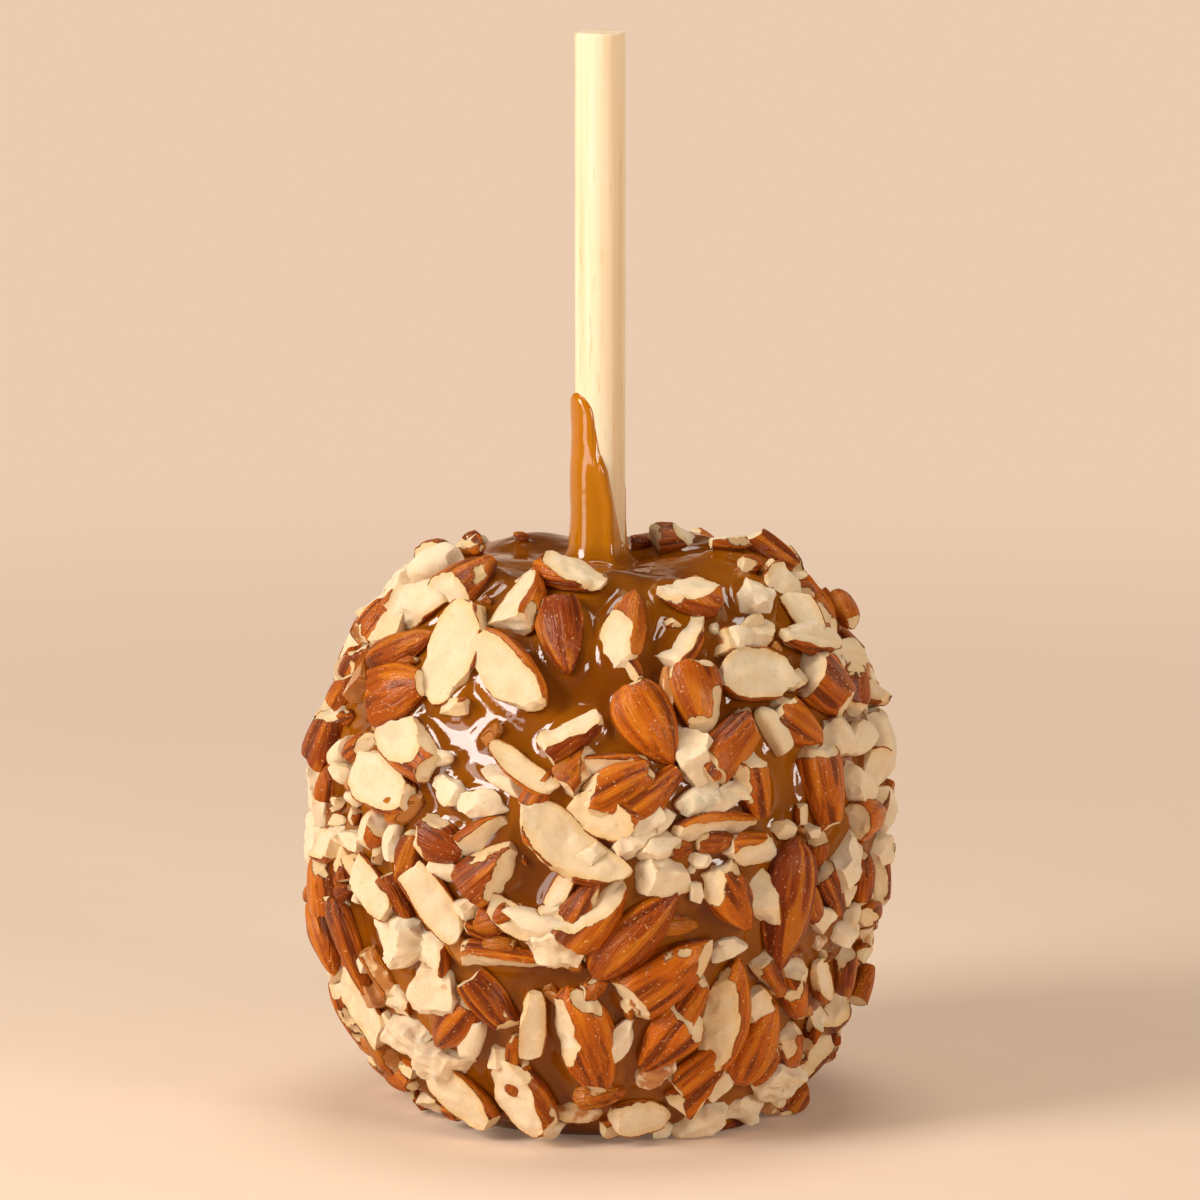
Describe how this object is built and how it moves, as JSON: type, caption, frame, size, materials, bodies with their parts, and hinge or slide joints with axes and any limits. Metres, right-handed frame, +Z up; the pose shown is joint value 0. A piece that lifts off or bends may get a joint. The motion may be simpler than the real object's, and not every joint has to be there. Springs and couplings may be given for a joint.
{
  "type": "caramel apple",
  "caption": "Whole caramel-coated apple rolled in chopped and whole almonds, standing upright on its caramel foot with a round wooden stick.",
  "frame": {"origin": "middle of the flat caramel foot, on the axis of the stick", "axes": "+Z up along the stick, -Y toward the front, where the caramel has run up the stick; +X to the right seen from the front"},
  "size_m": [0.0942, 0.0926, 0.173],
  "materials": {
    "caramel": "glossy soft caramel",
    "stick": "smooth unvarnished pale wood",
    "almond_skin": "ridged brown skin, satin",
    "almond_flesh": "cream cut faces, satin"
  },
  "bodies": {
    "root": {"caramel_apple": "caramel", "stick": "stick", "almond_01": "almond_skin", "almond_02": "almond_skin", "almond_03": "almond_flesh", "almond_04": "almond_flesh", "almond_05": "almond_skin", "almond_06": "almond_skin", "almond_07": "almond_skin", "almond_08": "almond_skin", "almond_09": "almond_skin", "almond_10": "almond_skin", "almond_11": "almond_skin", "almond_12": "almond_flesh", "almond_13": "almond_flesh", "almond_14": "almond_skin", "almond_15": "almond_flesh", "almond_16": "almond_flesh", "almond_17": "almond_flesh", "almond_18": "almond_flesh", "almond_19": "almond_skin", "almond_20": "almond_flesh", "almond_21": "almond_flesh", "almond_22": "almond_flesh", "almond_23": "almond_skin", "almond_24": "almond_skin", "almond_25": "almond_skin", "almond_26": "almond_flesh", "almond_27": "almond_skin", "almond_28": "almond_skin", "almond_29": "almond_skin", "almond_30": "almond_skin", "almond_31": "almond_skin", "almond_32": "almond_skin", "almond_33": "almond_skin", "almond_34": "almond_skin", "almond_35": "almond_skin", "almond_36": "almond_flesh", "almond_37": "almond_flesh", "almond_38": "almond_flesh", "almond_39": "almond_skin", "almond_40": "almond_skin", "almond_41": "almond_skin", "almond_42": "almond_skin", "almond_43": "almond_skin", "almond_44": "almond_flesh", "almond_45": "almond_skin", "almond_46": "almond_skin", "almond_47": "almond_skin", "almond_48": "almond_skin", "almond_49": "almond_skin", "almond_50": "almond_skin", "almond_51": "almond_skin", "almond_52": "almond_skin", "almond_53": "almond_flesh", "almond_54": "almond_skin", "almond_55": "almond_flesh", "almond_56": "almond_flesh", "almond_57": "almond_flesh", "almond_58": "almond_skin"}
  },
  "joints": []
}
